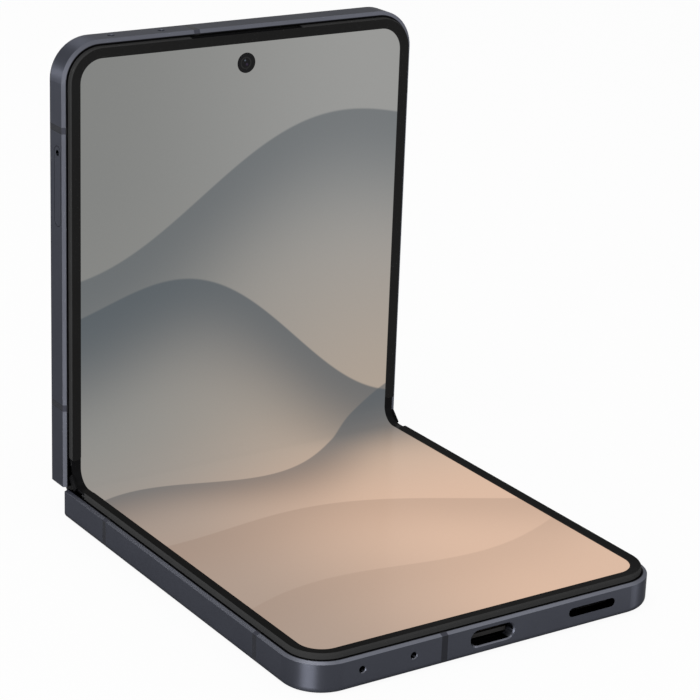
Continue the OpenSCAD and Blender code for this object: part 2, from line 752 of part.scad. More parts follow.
module speaker_mesh() color("#2a2b2e") on_lower() translate([speaker_x, 0, -sound_depth]) {
  hole_pitch = 0.64;
  holes = floor((speaker_l - speaker_h)/2/hole_pitch);
  difference() {
    along_y(mesh_s, mesh_s + mesh_t) stadium(speaker_l, speaker_h);
    for (row = [-1, 1], i = [-holes:holes]) translate([(i + row/4)*hole_pitch, 0, row*speaker_h/4.5])
      along_y(mesh_s - 1, mesh_s + 1) circle(0.2, $fn = 16);
  }
}

module lower_microphones() color(gold) on_lower() capsules();

// Flat winding on the cover, under the middle of the battery
module charging_coil() color(gold) on_lower()
  translate([0, (battery_s + lower_board_s)/2, cover_in_z]) rotate_extrude() {
    turn = (coil_r - coil_hole_r)/coil_turns;
    translate([coil_hole_r, 0]) square([coil_r - coil_hole_r, coil_t/2]);
    for (i = [0:coil_turns - 1]) translate([coil_hole_r + i*turn, 0]) square([turn*0.7, coil_t]);
  }

module haptic_motor() color(steel) on_lower() translate([haptic_x, haptic_s, plate_z - battery_t])
  rounded_box([haptic_w, haptic_l, battery_t], 1);

// ---- Spine ----

module spine_cover() color(frame_colour) on_spine() along_x(spine_l - 2*end_cap_l) difference() {
  spine_section(spine_r);
  spine_section(spine_r - spine_wall);
}

module spine_end_caps() color(black) on_spine() both_sides() translate([(spine_l - end_cap_l)/2, 0, 0])
  along_x(end_cap_l) {
    spine_section(spine_r);
    at_axes() circle(root_r);
    translate([-axis_offset, -axis_depth - 1]) square([2*axis_offset, 1 + root_r*0.6]);
  }

// Two cheeks that carry the pins and idlers, on a floor that lies in the spine
module hinge_bases() color(steel) on_spine() at_hinges() {
  for (end = [-1, 1]) translate([end*(module_l - cheek_t)/2, 0, 0]) along_x(cheek_t) cheek_section();
  along_x(module_l - cheek_t) translate([-axis_offset, -axis_depth - base_r])
    square([2*axis_offset, axis_depth + base_r + idler_z - tip_r - side_clear]);
}

module at_pins() at_hinges() for (y = [-axis_offset, axis_offset]) translate([0, y, -axis_depth]) children();

module hinge_pins() color(steel) on_spine() at_pins() {
  along_x(module_l + 2*stack_l + eps) circle(pin_r);
  both_sides() translate([module_l/2 + stack_l + pin_head_t/2, 0, 0])
    along_x(pin_head_t) circle(root_r - 0.1);
}

module friction_washers() color(gold) on_spine() at_pins() both_sides()
  for (i = [0:washers - 1]) translate([(module_l + side_clear)/2 + i*washer_t, 0, 0])
    if (i % 2 == 0) disc_spring(); else translate([washer_t, 0, 0]) mirror([1, 0, 0]) disc_spring();

// Quarter turn of the display between the two halves
module display_fold() color(glass_colour) table() translate([0, -bend_start, display_z + bend_r])
  along_x(phone_w - 2*display_in) intersection() {
    difference() {
      circle(bend_r + display_t);
      circle(bend_r);
    }
    translate([0, -bend_r - display_t]) square(bend_r + display_t);
  }

module hinge_flex() color(gold) on_spine() along_x(flex_w) {
  line = doubled(flex_line());
  polygon(concat(offset_line(line, flex_t/2), reversed(offset_line(line, -flex_t/2))));
}

module idler_gears_lower() color(gold) on_spine() at_hinges()
  translate([0, -gear_r, idler_z]) idler(1, phase_1);
module idler_gears_upper() color(gold) on_spine() at_hinges()
  translate([0, gear_r, idler_z]) idler(-1, phase_2);

// ---- Upper half ----

module at_lenses() for (x = [outer_lens_x, inner_lens_x]) translate([x, lens_s, -frame_t]) children();
module at_flash() translate([flash_x, flash_s, -frame_t]) children();
module at_tray() translate([-phone_w/2, tray_s, -tray_depth]) children();
module at_key(s) translate([0, s, -key_depth]) children();
module selfie_hole(r) translate([0, selfie_s, -frame_t]) cylinder(r = r, h = 2*frame_t);

module upper_frame() color(frame_colour) on_upper() difference() {
  union() {
    half_frame();
    board_bosses(main_bosses, main_board_z);
  }
  for (x = mic_x) microphone_hole(x);
  key_slot(volume_s, volume_l);
  key_slot(side_key_s, side_key_l);
  at_tray() along_x(2*rail_w + 0.1) stadium(tray_face_l + 2*slot_clear, tray_face_h + 2*slot_clear);
  selfie_hole(selfie_r + slot_clear);
}
module key_slot(s, l) at_key(s) translate([phone_w/2, 0, 0])
  along_x(2*rail_w + 0.1) stadium(l + 2*slot_clear, key_h + 2*slot_clear);

module upper_antenna_bands() color(edge_colour) on_upper() band_slots() band_section();

module upper_cover() color(glass_colour) on_upper() difference() {
  back_cover();
  at_lenses() translate([0, 0, -1]) cylinder(r = ring_r + cover_seam, h = cover_t + 2);
  at_flash() translate([0, 0, -1]) cylinder(r = flash_r + cover_seam, h = cover_t + 2);
}

module upper_bezel() color(black) on_upper() difference() {
  bezel();
  earpiece_slit();
}

// Slit along the foot of the bezel's outer face at the far end, with slanted ends
module earpiece_slit() translate([0, half_l - bezel_in, earpiece_z]) along_y(-earpiece_d, 1) polygon([
  [-earpiece_l/2, earpiece_h], [earpiece_l/2, earpiece_h],
  [earpiece_l/2 - earpiece_h, 0], [-earpiece_l/2 + earpiece_h, 0]
]);

module upper_display() color(glass_colour) on_upper() difference() {
  slab(display_in, bend_start, backing_z, display_z);
  selfie_hole(selfie_r);
}

module upper_display_backing() color(steel) on_upper() difference() {
  display_backing();
  selfie_hole(selfie_r + slot_clear);
}

module upper_hinge_brackets() color(steel) on_upper() at_hinges()
  hinge_bracket(1, [for (k = [-3:1]) phase_b + k*pitch]);
module upper_hinge_screws() color(steel) on_upper() at_hinges() bracket_screws(screw_r, screw_head_r);

module upper_battery() color(black) on_upper()
  battery(-strip_x + inner_gap, strip_x - inner_gap, main_board_s);

module main_board() color(board_colour) on_upper() in_pocket() difference() {
  room = barrel_r + inner_gap;
  translate([-rail_x, main_board_s, main_board_z - board_t])
    cube([rail_x + strip_x - inner_gap, main_board_l, board_t]);
  translate([-notch_w/2, selfie_s - selfie_box/2 - inner_gap, -frame_t]) cube([notch_w, half_l, frame_t]);
  at_lenses() translate([-room, -room, 0]) cube([2*room, 2*room, frame_t]);
  for (x = mic_x) translate([x - 2, rail_end - 1.5, -frame_t]) cube([4, 2, frame_t]);
  screw_holes(main_bosses);
}

module board_shields() color(steel) on_upper() for (can = cans)
  translate([can[0], rail_end - can[2], main_board_z - board_t - can_h])
    rounded_box([can[1] - can[0], can[3], can_h], 0.8);

module upper_board_screws() color(steel) on_upper() board_screws(main_bosses, main_board_z);

module selfie_camera() color(black) on_upper() translate([0, selfie_s, 0]) {
  box_h = 3;
  window_z = display_z - window_t;
  translate([-selfie_box/2, -selfie_box/2, plate_z - box_h])
    rounded_box([selfie_box, selfie_box, box_h], 0.5);
  difference() {
    translate([0, 0, plate_z - eps]) cylinder(r = selfie_r - foot_clear, h = window_z - plate_z + eps);
    translate([0, 0, window_z - 0.5]) cylinder(r1 = 0.7, r2 = selfie_r - 0.5, h = 0.5 + eps);
  }
}
module selfie_window() color("#20242c") on_upper() translate([0, selfie_s, display_z - window_t])
  cylinder(r = selfie_r - seat_fit, h = window_t);

// Lens windows lie this deep in their rings
window_in = 0.15;
window_back = -ring_proud + window_in + window_t;

module rear_cameras() color(black) on_upper() at_lenses() difference() {
  union() {
    translate([-barrel_r, -barrel_r, cover_t])
      rounded_box([2*barrel_r, 2*barrel_r, frame_t + plate_z - cover_t], 0.8);
    translate([0, 0, window_back]) cylinder(r = barrel_r - 0.4, h = frame_t + plate_z - window_back);
  }
  translate([0, 0, window_back - eps]) cylinder(r1 = barrel_r - 1.2, r2 = 1.2, h = 1.6);
}

module rear_camera_rings() color(edge_colour) on_upper() at_lenses() rotate_extrude() {
  bevel = 0.25;
  seat = barrel_r - 0.3;
  polygon([
    [barrel_r, -ring_proud + bevel/2], [ring_r - bevel, -ring_proud], [ring_r, -ring_proud + bevel],
    [ring_r, cover_t], [seat, cover_t], [seat, window_back], [barrel_r, window_back]
  ]);
}

module rear_camera_windows() color("#20242c") on_upper() at_lenses() translate([0, 0, window_in - ring_proud])
  cylinder(r = barrel_r - eps, h = window_t);

module flash_lamp() color("white") on_upper() at_flash() {
  cylinder(r = flash_r, h = window_t);
  translate([0, 0, window_t - eps])
    cylinder(r = flash_r - 0.4, h = frame_t + main_board_z - board_t - window_t + eps);
}

module cover_display() color(glass_colour) on_upper() {
  start = pocket_s + 0.6;
  translate([-rail_x + 1, start, cover_in_z])
    rounded_box([2*rail_x - 2, lens_s - ring_r - 1 - start, cover_display_t], 3);
}

module earpiece() color(black) on_upper() {
  start = selfie_s + selfie_box/2 + 0.2;
  translate([-earpiece_w/2, start, plate_z - capsule_h])
    rounded_box([earpiece_w, rail_end - start, capsule_h], 0.6);
}

// Woven strip at the bottom of the earpiece slit
module earpiece_mesh() color("#2a2b2e") on_upper() intersection() {
  earpiece_slit();
  translate([-phone_w/2, half_l - bezel_in - earpiece_d, -frame_t]) cube([phone_w, 0.08, 2*frame_t]);
}

module upper_microphones() color(gold) on_upper() capsules();

// Reader between the main board and the middle plate, open towards the rail
module sim_reader() color(steel) on_upper() translate([tray_x, tray_s, 0]) difference() {
  mouth_w = tray_plate_w + 2*slot_clear;
  mouth_t = tray_t + 2*slot_clear;
  translate([0, -mouth_w/2 - reader_side, main_board_z])
    cube([tray_l + reader_end, mouth_w + 2*reader_side, plate_z - main_board_z]);
  translate([-1, -mouth_w/2, -tray_depth - mouth_t/2]) cube([tray_l + 1, mouth_w, mouth_t]);
}

// Card tray: its face in the rail, with the eject hole, and a plate with the seat of the card
module sim_tray() color(frame_colour) on_upper() at_tray() difference() {
  card_x = rail_w + 1.2;
  union() {
    translate([rail_w/2, 0, 0]) along_x(rail_w) stadium(tray_face_l, tray_face_h);
    translate([rail_w - lap, -tray_plate_w/2, -tray_t/2]) cube([tray_l + lap, tray_plate_w, tray_t]);
  }
  translate([0, (tray_face_l - tray_face_h)/2, 0]) along_x(4*rail_w) circle(eject_r, $fn = 24);
  translate([card_x, -card_w/2, 0.15 - tray_t/2]) cube([card_l, card_w, tray_t]);
  translate([card_x + card_rim, card_rim - card_w/2, -tray_t])
    cube([card_l - 2*card_rim, card_w - 2*card_rim, 2*tray_t]);
}

// A side key: a rounded cap through the rail, and a flange behind it
module key(s, l) at_key(s) {
  cap_l = phone_w/2 + key_proud - flange_x;
  translate([flange_x + cap_l/2, 0, 0]) along_x(cap_l) stadium(l, key_h);
  translate([flange_x - flange_t/2, 0, 0]) along_x(flange_t) stadium(l + 1, key_h + 0.8);
}

// The volume key rocks on a round rib behind its middle
module volume_key() color(edge_colour) on_upper() {
  key(volume_s, volume_l);
  at_key(volume_s) translate([key_back_x, 0, -key_h/2]) cylinder(r = rib_r, h = key_h, $fn = 24);
}
module side_key() color(edge_colour) on_upper() key(side_key_s, side_key_l);

// Dome switches on their strip, and the block that the volume key rocks on
module key_switches() color(gold) on_upper() {
  strip_s = side_key_s - 3;
  block = [key_back_x - rib_r - seat_fit - switch_x, 2, key_h];
  translate([strip_x, strip_s, -key_depth - key_h/2])
    cube([strip_t, volume_s + volume_l/2 - strip_s, plate_z + key_depth + key_h/2]);
  for (s = [side_key_s, volume_s - volume_l/3, volume_s + volume_l/3])
    at_key(s) translate([switch_x + switch_t/2, 0, 0]) along_x(switch_t) circle(1, $fn = 24);
  at_key(volume_s) translate([switch_x, -block[1]/2, -block[2]/2]) cube(block);
}

lower_frame();
lower_antenna_bands();
lower_cover();
lower_bezel();
lower_display();
lower_display_backing();
lower_hinge_brackets();
lower_hinge_screws();
lower_battery();
lower_board();
lower_board_screws();
usb_receptacle();
usb_tongue();
loudspeaker();
speaker_mesh();
lower_microphones();
charging_coil();
haptic_motor();
spine_cover();
spine_end_caps();
hinge_bases();
hinge_pins();
friction_washers();
display_fold();
hinge_flex();
idler_gears_lower();
idler_gears_upper();
upper_frame();
upper_antenna_bands();
upper_cover();
upper_bezel();
upper_display();
upper_display_backing();
upper_hinge_brackets();
upper_hinge_screws();
upper_battery();
main_board();
board_shields();
upper_board_screws();
selfie_camera();
selfie_window();
rear_cameras();
rear_camera_rings();
rear_camera_windows();
flash_lamp();
cover_display();
earpiece();
earpiece_mesh();
upper_microphones();
sim_reader();
key_switches();
volume_key();
side_key();
sim_tray();
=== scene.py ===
"""Looks of the foldable phone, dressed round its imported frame.

Lengths are in metres, and in millimetres where a name ends in _mm. The screen's picture has coordinates
of its own: across the phone, and along the display from its fold towards the upper half. The shader that
draws it reckons them in millimetres.
"""
import json
import math

import bmesh
import bpy
from mathutils import Euler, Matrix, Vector


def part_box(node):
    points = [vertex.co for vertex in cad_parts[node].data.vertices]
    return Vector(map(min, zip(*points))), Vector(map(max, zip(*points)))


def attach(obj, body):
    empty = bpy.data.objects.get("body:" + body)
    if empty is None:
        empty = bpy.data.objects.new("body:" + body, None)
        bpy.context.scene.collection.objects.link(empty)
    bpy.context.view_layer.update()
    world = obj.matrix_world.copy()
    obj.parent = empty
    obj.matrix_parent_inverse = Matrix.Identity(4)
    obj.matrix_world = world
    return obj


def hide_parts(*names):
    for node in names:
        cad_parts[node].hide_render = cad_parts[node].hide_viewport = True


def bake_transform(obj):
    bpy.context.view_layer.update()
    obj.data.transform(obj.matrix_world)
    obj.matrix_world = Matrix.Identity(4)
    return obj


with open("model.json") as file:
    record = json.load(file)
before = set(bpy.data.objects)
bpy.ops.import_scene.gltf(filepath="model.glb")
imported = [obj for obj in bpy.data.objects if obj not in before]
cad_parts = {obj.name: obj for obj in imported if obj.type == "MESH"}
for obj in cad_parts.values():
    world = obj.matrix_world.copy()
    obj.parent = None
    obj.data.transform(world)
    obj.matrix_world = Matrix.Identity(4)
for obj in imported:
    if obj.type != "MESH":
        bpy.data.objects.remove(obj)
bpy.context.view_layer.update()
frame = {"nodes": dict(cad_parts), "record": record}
nodes = frame["nodes"]

MM = 0.001

# ---- Sizes, from the frame ----

frame_low, frame_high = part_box("lower_frame")
upper_low, upper_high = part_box("upper_frame")
display_low, display_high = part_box("lower_display")
fold_low, fold_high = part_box("display_fold")

HALF_WIDTH = frame_high.x
NEAR_END = frame_low.y
TOP_END = upper_high.z
DISPLAY_T = display_high.z - display_low.z
FOLD_CENTRE = Vector((0, fold_low.y, fold_high.z))
FOLD_OUTER_R = fold_high.y - fold_low.y
FOLD_INNER_R = FOLD_OUTER_R - DISPLAY_T
FOLD_ARC = FOLD_INNER_R * math.pi / 2

# Faces of each piece of the fold: round its arc, and across the phone
FOLD_STEPS = 24
FOLD_COLUMNS = 12

# For the axis that each half's display faces along: its sign, and where the rim of the frame is
RIMS = {"Z": (1, frame_high.z), "Y": (-1, upper_low.y)}

# The spine at rest: up, away from its belly, and along, from the lower half to the upper one
UP = Vector((0, -1, 1)).normalized()
ALONG = Vector((0, 1, 1)).normalized()

# Plates beside the fold: places across the phone, heights over the display, and half the length
EAR_GAP = 0.04 * MM
EAR_WALL_T = 0.34 * MM
EAR_FOOT_X = 33.2 * MM
EAR_INNER_X = fold_high.x + EAR_GAP
EAR_OUTER_X = EAR_INNER_X + EAR_WALL_T
EAR_FOOT_T = 0.55 * MM
EAR_LOW = -1.09 * MM
EAR_HIGH = 0.35 * MM
EAR_HALF_L = 1.42 * MM
EAR_BEVEL = 0.08 * MM
EAR_BEVEL_STEPS = 3

# The lit picture: its distance from the edges of the phone, its corner radius and its soft edge
BEZEL_W = 3.0 * MM
PICTURE_R = 4.2 * MM
PICTURE_BLUR = 0.04 * MM
PICTURE_HALF_W = HALF_WIDTH - BEZEL_W
PICTURE_START = -FOLD_ARC / 2 - (fold_low.y - NEAR_END - BEZEL_W)
PICTURE_END = FOLD_ARC / 2 + TOP_END - BEZEL_W - fold_high.z

# Side of the square of screen that fills the UV map, and the middle of the map
UV_SIDE = 0.2
UV_MIDDLE = 0.5


# ---- Materials ----


class NodeTree:
    """The nodes of a material or a world, with short names for what this script does with them."""

    # Places of the sockets of a mix of colours, whose names are shared with other kinds of mix
    COLOUR_A = 6
    COLOUR_B = 7
    COLOUR_RESULT = 2

    def __init__(self, owner):
        owner.use_nodes = True
        self.tree = owner.node_tree
        self.tree.nodes.clear()

    def node(self, kind, **values):
        """A new node. values are those of its inputs, with an underscore for each space of a name."""
        made = self.tree.nodes.new(kind)
        for name, value in values.items():
            made.inputs[name.replace("_", " ")].default_value = value
        return made

    def link(self, source, target):
        """Feeds an input from another node's socket, or with a value."""
        if isinstance(source, bpy.types.NodeSocket):
            self.tree.links.new(source, target)
        else:
            target.default_value = source

    def math(self, operation, a, b=0.0, c=0.0):
        made = self.node("ShaderNodeMath")
        made.operation = operation
        for socket, value in zip(made.inputs, (a, b, c)):
            self.link(value, socket)
        return made.outputs[0]

    def add(self, a, b):
        return self.math("ADD", a, b)

    def subtract(self, a, b):
        return self.math("SUBTRACT", a, b)

    def times(self, a, b):
        return self.math("MULTIPLY", a, b)

    def larger(self, a, b):
        return self.math("MAXIMUM", a, b)

    def absolute(self, value):
        return self.math("ABSOLUTE", value)

    def axes(self, vector):
        """The X, Y and Z sockets of a vector."""
        parts = self.node("ShaderNodeSeparateXYZ")
        self.link(vector, parts.inputs[0])
        return parts.outputs

    def step(self, value, low, high, to_low=0.0, to_high=1.0):
        """Smooth step of a value from to_low, at low, to to_high, at high."""
        made = self.node("ShaderNodeMapRange")
        made.interpolation_type = "SMOOTHSTEP"
        for socket, source in zip(made.inputs, (value, low, high, to_low, to_high)):
            self.link(source, socket)
        return made.outputs[0]

    def mix(self, share, a, b):
        """Colour a, with a share of colour b."""
        made = self.node("ShaderNodeMix")
        made.data_type = "RGBA"
        self.link(share, made.inputs["Factor"])
        self.link(a, made.inputs[self.COLOUR_A])
        self.link(b, made.inputs[self.COLOUR_B])
        return made.outputs[self.COLOUR_RESULT]


class Shader(NodeTree):
    """A material with one surface. Its place and normal are those of the part at rest."""

    # Noise stays between these two values nearly everywhere
    NOISE_LOW = 0.3
    NOISE_HIGH = 0.7

    def __init__(self, name, **values):
        self.material = bpy.data.materials.new(name)
        super().__init__(self.material)
        self.surface = self.node("ShaderNodeBsdfPrincipled", **values)
        self.link(self.surface.outputs[0], self.node("ShaderNodeOutputMaterial").inputs["Surface"])
        coordinates = self.node("ShaderNodeTexCoord")
        self.place = coordinates.outputs["Object"]
        self.normal = coordinates.outputs["Normal"]

    def set(self, socket, source):
        """Feeds an input of the surface."""
        self.link(source, self.surface.inputs[socket])

    def noise(self, size, detail=2.0, stretch=(1, 1, 1)):
        """Noise whose features are about size across."""
        mapping = self.node("ShaderNodeMapping", Scale=stretch)
        self.link(self.place, mapping.inputs["Vector"])
        made = self.node("ShaderNodeTexNoise", Scale=1 / size, Detail=detail)
        self.link(mapping.outputs[0], made.inputs["Vector"])
        return made.outputs["Fac"]

    def bump(self, height, distance, strength=1.0):
        made = self.node("ShaderNodeBump", Strength=strength, Distance=distance)
        self.link(height, made.inputs["Height"])
        self.set("Normal", made.outputs[0])

    def vary_roughness(self, noise, low, high):
        self.set("Roughness", self.step(noise, self.NOISE_LOW, self.NOISE_HIGH, low, high))


def colour(red, green, blue):
    """Linear colour of an 8-bit display colour."""

    def linear(level):
        share = level / 255
        return share / 12.92 if share <= 0.04045 else ((share + 0.055) / 1.055) ** 2.4

    return (linear(red), linear(green), linear(blue), 1.0)


def shades(base, amount):
    """A darker and a lighter shade of a colour."""
    return tuple((*[level * factor for level in base[:3]], 1.0) for factor in (1 - amount, 1 + amount))


METAL = colour(69, 71, 79)
EDGE_TINT = (0.5, 0.5, 0.5, 1.0)
BLACK = colour(14, 14, 15)
PAINTED_SHADE_BLACK = colour(7, 7, 8)
UNLIT = (0, 0, 0, 1)

# A surface that faces the display side of its half by more than this is a bevel, and no wall
BEVEL_FROM = 0.72
BEVEL_BLEND = 0.15

# Blends into black, which is painted shade: of what faces the display side fully, of heights near the rim,
# and of what faces the middle of the phone
LEVEL_BLEND = (0.93, 0.97)
RIM_BLEND = (-0.11 * MM, -0.04 * MM)
INWARD_BLEND = (-0.3 * HALF_WIDTH, -0.1 * HALF_WIDTH)

# The bezel's walls turn from black, as painted shade, to grey, as painted sheen, between these heights over
# the rim, and its top starts where it faces the display side by these shares
WALL_BLEND = (0.04 * MM, 0.1 * MM)
TOP_BLEND = (0.6, 0.95)

# Black as painted shade reaches this far below the earpiece's mesh, and the blends at its end and sides are
# this wide
SLIT_REACH = 1.0 * MM
SLIT_BLEND_Z = 0.1 * MM
SLIT_BLEND_X = 0.3 * MM

# Distance between the mesh's wires, and how deep gold reaches from the faces of the tongue's contacts
WIRE_GAP = 0.16 * MM
GOLD_DEPTH = 0.02 * MM


def finish_of(name, base, rough, vary=0.06, grain=0.12 * MM, depth=0.004 * MM, **values):
    """A material with fine grain, uneven shade and uneven roughness."""
    shader = Shader(name, **values)
    broad = shader.noise(14 * MM, 3.0)
    shader.set("Base Color", shader.mix(broad, *shades(base, vary)))
    shader.vary_roughness(shader.noise(5 * MM, 4.0), *rough)
    shader.bump(shader.noise(grain, 2.0), depth)
    return shader.material


def display_side(shader, axis):
    """How far the surface faces the display side of its half, and its height over the rim."""
    sign, rim = RIMS[axis]
    facing = shader.times(shader.axes(shader.normal)[axis], sign)
    height = shader.times(shader.subtract(shader.axes(shader.place)[axis], rim), sign)
    return facing, height


def two_toned(shader, axis, wall, bevel, vary, bevel_from=BEVEL_FROM):
    """Colours walls and bevels apart, and paints shade black.

    Black as painted shade covers the rim inside the bevel, walls that face the middle of the phone, and
    what faces the display side fully, in holes and under the display.
    """
    facing, height = display_side(shader, axis)
    uneven = shader.noise(12 * MM, 3.0)
    walls = shader.mix(uneven, *shades(wall, vary))
    # Bevels take a paler tone, which is partly painted highlight
    bevels = shader.mix(uneven, *shades(bevel, vary))
    outside = shader.mix(shader.step(facing, bevel_from, bevel_from + BEVEL_BLEND), walls, bevels)
    outwards = shader.times(shader.axes(shader.normal)["X"], shader.axes(shader.place)["X"])
    # Painted shade: black where walls face the middle of the phone, at the rim, and where a surface faces
    # the display side fully
    inner = shader.step(outwards, *INWARD_BLEND, 1.0, 0.0)
    rim_shade = shader.step(height, *RIM_BLEND)
    painted_shade = shader.larger(shader.larger(inner, rim_shade), shader.step(facing, *LEVEL_BLEND))
    shader.set("Base Color", shader.mix(painted_shade, outside, BLACK))


def anodised(name, axis, bevel, streak, turn=0.0, bevel_from=BEVEL_FROM):
    """Anodised aluminium with a paler bevel round the rim, partly the cut metal and partly painted
    highlight. streak draws its reflections out.
    """
    shader = Shader(
        name, Metallic=1.0, Specular_Tint=EDGE_TINT, Anisotropic=streak, Anisotropic_Rotation=turn)
    tangent = shader.node("ShaderNodeTangent")
    tangent.direction_type = "RADIAL"
    tangent.axis = axis
    shader.set("Tangent", tangent.outputs[0])
    two_toned(shader, axis, METAL, bevel, 0.04, bevel_from)
    shader.vary_roughness(shader.noise(6 * MM, 4.0), 0.37, 0.41)
    return shader.material


def antenna_plastic(name, axis):
    """Plastic of the antenna bands, a darker tone of the metal, with a paler bevel that is painted
    highlight.
    """
    shader = Shader(name, Specular_IOR_Level=0.1)
    two_toned(shader, axis, colour(27, 28, 33), colour(52, 53, 61), 0.05)
    shader.vary_roughness(shader.noise(3 * MM, 3.0), 0.5, 0.6)
    return shader.material


def brushed(name, base):
    """Metal with fine lines along X."""
    shader = Shader(name, Metallic=1.0)
    lines = shader.noise(0.08 * MM, 3.0, stretch=(0.04, 1, 1))
    shader.set("Base Color", shader.mix(lines, *shades(base, 0.12)))
    shader.vary_roughness(lines, 0.25, 0.4)
    shader.bump(lines, 0.003 * MM)
    return shader.material


def circuit_board():
    """Green solder mask over traces, with pale pads."""
    shader = Shader("circuit_board", Specular_IOR_Level=0.6)
    traces = shader.node("ShaderNodeTexBrick", Scale=1 / (2.4 * MM), Mortar_Size=0.08)
    shader.link(shader.place, traces.inputs["Vector"])
    pads = shader.node("ShaderNodeTexVoronoi", Scale=1 / (1.1 * MM))
    shader.link(shader.place, pads.inputs["Vector"])
    mask = shader.mix(traces.outputs["Fac"], colour(24, 66, 48), colour(34, 88, 62))
    dots = shader.step(pads.outputs["Distance"], 0.16, 0.2, 1.0, 0.0)
    shader.set("Base Color", shader.mix(dots, mask, colour(178, 168, 140)))
    shader.vary_roughness(shader.noise(1 * MM), 0.3, 0.45)
    shader.bump(traces.outputs["Fac"], 0.01 * MM, 0.5)
    return shader.material


def battery_foil():
    """Wrinkled black pouch foil."""
    shader = Shader("battery_foil", Metallic=0.4)
    creases = shader.noise(3 * MM, 5.0)
    shader.set("Base Color", shader.mix(creases, colour(30, 30, 33), colour(52, 52, 57)))
    shader.vary_roughness(creases, 0.3, 0.5)
    shader.bump(creases, 0.05 * MM, 0.6)
    return shader.material


def woven_mesh():
    """Black woven mesh of fine wires."""
    shader = Shader("woven_mesh", Roughness=0.6, Specular_IOR_Level=0.1)
    turns = math.pi / WIRE_GAP
    waves = [shader.math("SINE", shader.times(axis, turns)) for axis in shader.axes(shader.place)]
    weave = shader.times(shader.times(waves[0], waves[1]), waves[2])
    wires = shader.step(weave, -0.4, 0.4)
    shader.set("Base Color", shader.mix(wires, colour(4, 4, 5), colour(16, 16, 18)))
    shader.bump(weave, 0.02 * MM)
    return shader.material


def bezel_plastic(name, axis, slit=None):
    """Satin black plastic with walls painted grey as sheen, and painted black as shade at the rim and round
    the box of a slit.
    """
    shader = Shader(name, Specular_IOR_Level=0.006)
    facing, height = display_side(shader, axis)
    uneven = shader.noise(9 * MM, 3.0)
    # The walls' grey is painted sheen, and black at their foot is painted shade
    walls = shader.mix(uneven, *shades(colour(44, 44, 44), 0.1))
    walls = shader.mix(shader.step(height, *WALL_BLEND), PAINTED_SHADE_BLACK, walls)
    top = shader.mix(uneven, *shades(colour(25, 25, 25), 0.1))
    # Painted shade round the earpiece's slit
    if slit:
        place = shader.axes(shader.place)
        end_x = slit[1].x
        end_z = slit[0].z - SLIT_REACH
        within = shader.step(shader.absolute(place["X"]), end_x - SLIT_BLEND_X, end_x, 1.0, 0.0)
        above = shader.step(place["Z"], end_z, end_z + SLIT_BLEND_Z)
        walls = shader.mix(shader.times(within, above), walls, PAINTED_SHADE_BLACK)
    shader.set("Base Color", shader.mix(shader.step(facing, *TOP_BLEND), walls, top))
    shader.vary_roughness(shader.noise(5 * MM, 4.0), 0.42, 0.52)
    shader.bump(shader.noise(0.1 * MM), 0.003 * MM)
    return shader.material


def port_tongue():
    """Black tongue, with gold contacts where it is thickest. Their gold is darkened as painted shade of the
    port.
    """
    shader = Shader("port_tongue", Specular_IOR_Level=0.2)
    low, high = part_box("usb_tongue")
    height = shader.subtract(shader.axes(shader.place)["Z"], (low.z + high.z) / 2)
    bare = (high.z - low.z) / 2 - GOLD_DEPTH
    contact = shader.step(shader.absolute(height), bare - GOLD_DEPTH / 2, bare)
    uneven = shader.noise(0.8 * MM, 3.0)
    black = shader.mix(uneven, colour(13, 12, 12), colour(22, 20, 19))
    # The contacts' gold is darkened as painted shade inside the port
    gold = shader.mix(uneven, colour(64, 52, 36), colour(84, 68, 44))
    shader.set("Base Color", shader.mix(contact, black, gold))
    shader.set("Metallic", contact)
    shader.vary_roughness(uneven, 0.35, 0.5)
    return shader.material


def lens_glass(name, centres, radius):
    """Dark coated lenses that face along Y: a pale ring round each pupil, and two faint painted glints."""
    shader = Shader(name, Roughness=0.08, Specular_IOR_Level=0.06)
    x, _, z = shader.axes(shader.place)

    def near(right, up):
        """Distance from a place in the nearest lens. Place and distance are shares of its radius."""
        found = None
        for centre in centres:
            across = shader.subtract(x, centre.x + right * radius)
            above = shader.subtract(z, centre.z + up * radius)
            squares = shader.add(shader.times(across, across), shader.times(above, above))
            reach = shader.math("DIVIDE", shader.math("SQRT", squares), radius)
            found = reach if found is None else shader.math("MINIMUM", found, reach)
        return found

    middle = near(-0.06, 0)
    uneven = shader.noise(radius / 2, 2.0)
    glass = shader.mix(uneven, colour(17, 17, 18), colour(22, 22, 23))
    ring = shader.times(shader.step(middle, 0.46, 0.52), shader.step(middle, 0.56, 0.64, 1.0, 0.0))
    glass = shader.mix(ring, glass, colour(34, 34, 34))
    pupil = shader.step(middle, 0.3, 0.5, 1.0, 0.0)
    glass = shader.mix(pupil, glass, colour(20, 20, 21))
    # Two faint glints, painted highlights in the glass's colour
    painted_blue_glint = shader.step(near(-0.16, 0.26), 0.02, 0.13, 0.8, 0.0)
    glass = shader.mix(painted_blue_glint, glass, colour(84, 92, 104))
    painted_purple_glint = shader.step(near(0.06, -0.16), 0.03, 0.2, 0.5, 0.0)
    glass = shader.mix(painted_purple_glint, glass, colour(54, 42, 66))
    shader.set("Base Color", glass)
    return shader.material


def lamp_lens():
    """Milky lens over the flash."""
    shader = Shader("lamp_lens", Roughness=0.2, Transmission_Weight=0.1)
    ridges = shader.noise(0.35 * MM, 1.0)
    shader.set("Base Color", shader.mix(ridges, colour(225, 222, 205), colour(250, 248, 236)))
    shader.bump(ridges, 0.05 * MM, 0.5)
    return shader.material


